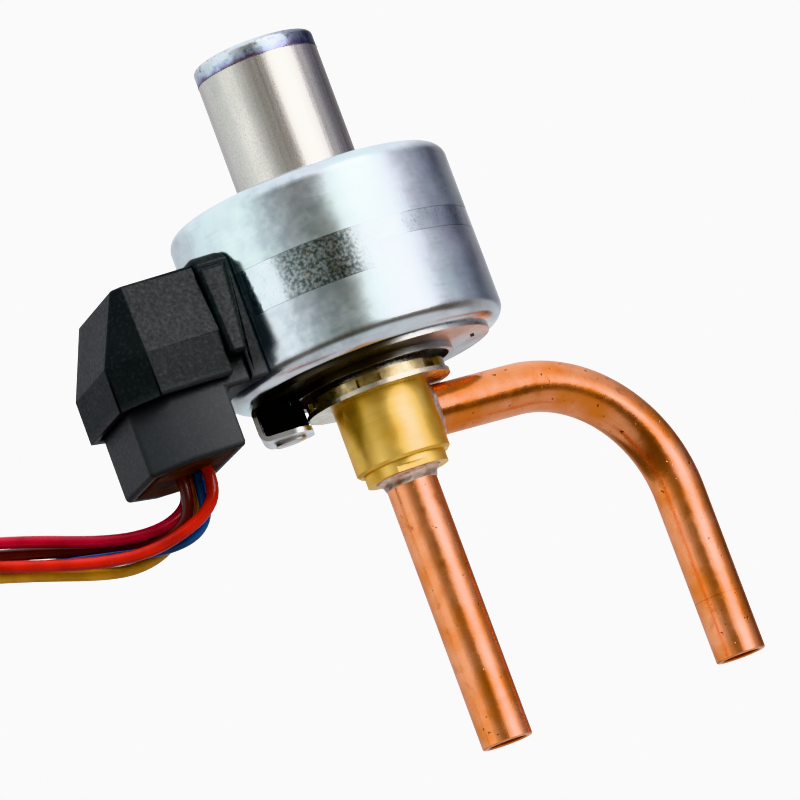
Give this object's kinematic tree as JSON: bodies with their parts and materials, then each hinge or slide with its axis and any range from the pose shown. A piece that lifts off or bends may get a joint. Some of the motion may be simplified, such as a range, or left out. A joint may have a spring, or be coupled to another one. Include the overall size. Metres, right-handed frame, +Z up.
{
  "type": "electronic expansion valve",
  "caption": "Stepping-motor needle valve: brass body with a straight and a bent copper tube, a stainless rotor can, and a clip-on stator with a side housing and coloured leads.",
  "frame": {"origin": "centre of the outlet tube's open lower end", "axes": "+Z up the valve's axis from the outlet tube to the can's cap, +X towards the inlet tube"},
  "size_m": [0.1054, 0.0631, 0.1512],
  "materials": {
    "copper": "drawn, lightly tarnished",
    "brass": "turned",
    "silver_solder": "flowed",
    "stainless": "brushed",
    "zinc_steel": "zinc plated",
    "spring_steel": "rolled",
    "hard_steel": "ground",
    "guide_resin": "moulded",
    "magnet_ferrite": "moulded",
    "bobbin_nylon": "moulded",
    "winding_wire": "enamelled",
    "housing_nylon": "moulded",
    "potting_resin": "poured",
    "board_laminate": "pressed",
    "tinned_brass": "tinned",
    "crimson_pvc": "extruded",
    "brown_pvc": "extruded",
    "orange_pvc": "extruded",
    "blue_pvc": "extruded",
    "yellow_pvc": "extruded",
    "tie_nylon": "moulded",
    "plug_nylon": "moulded"
  },
  "bodies": {
    "root": {"outlet_tube": "copper", "inlet_tube": "copper", "valve_body": "brass", "outlet_solder": "silver_solder", "inlet_solder": "silver_solder", "valve_seat": "hard_steel", "guide_nut": "brass", "nut_anchor": "stainless", "fixed_stop": "hard_steel", "base_ring": "stainless", "can_sleeve": "stainless", "can_cap": "stainless", "upper_guide": "guide_resin", "lock_ring": "stainless", "lower_shell": "zinc_steel", "upper_shell": "zinc_steel", "lower_yoke": "zinc_steel", "upper_yoke": "zinc_steel", "lower_bobbin": "bobbin_nylon", "upper_bobbin": "bobbin_nylon", "lower_winding": "winding_wire", "upper_winding": "winding_wire", "terminal_pins": "tinned_brass", "terminal_board": "board_laminate", "housing_base": "housing_nylon", "housing_cover": "housing_nylon", "lead_potting": "potting_resin", "coil_bracket": "spring_steel", "crimson_lead": "crimson_pvc", "brown_lead": "brown_pvc", "orange_lead": "orange_pvc", "blue_lead": "blue_pvc", "yellow_lead": "yellow_pvc", "lead_hank": "brown_pvc", "lead_tie": "tie_nylon", "lead_plug": "plug_nylon", "plug_contacts": "tinned_brass"},
    "needle": {"valve_needle": "hard_steel", "needle_spring": "spring_steel"},
    "rotor": {"lead_screw": "hard_steel", "needle_holder": "stainless", "rotor_hub": "brass", "rotor_magnet": "magnet_ferrite", "moving_stop": "hard_steel", "hub_retainer": "stainless"}
  },
  "joints": [
    {"name": "needle_lift", "type": "slide", "parent": "root", "child": "needle", "axis": [0, 0, 1], "range_m": [0, 0.0025]},
    {"name": "rotor_turn", "type": "hinge", "parent": "needle", "child": "rotor", "pos_m": [0, 0, 0.06], "axis": [0, 0, 1], "range_deg": [0, 1800]}
  ],
  "couplings": [
    {"joint": "needle_lift", "follows": "rotor_turn", "m_per_rad": 0.000079577}
  ]
}
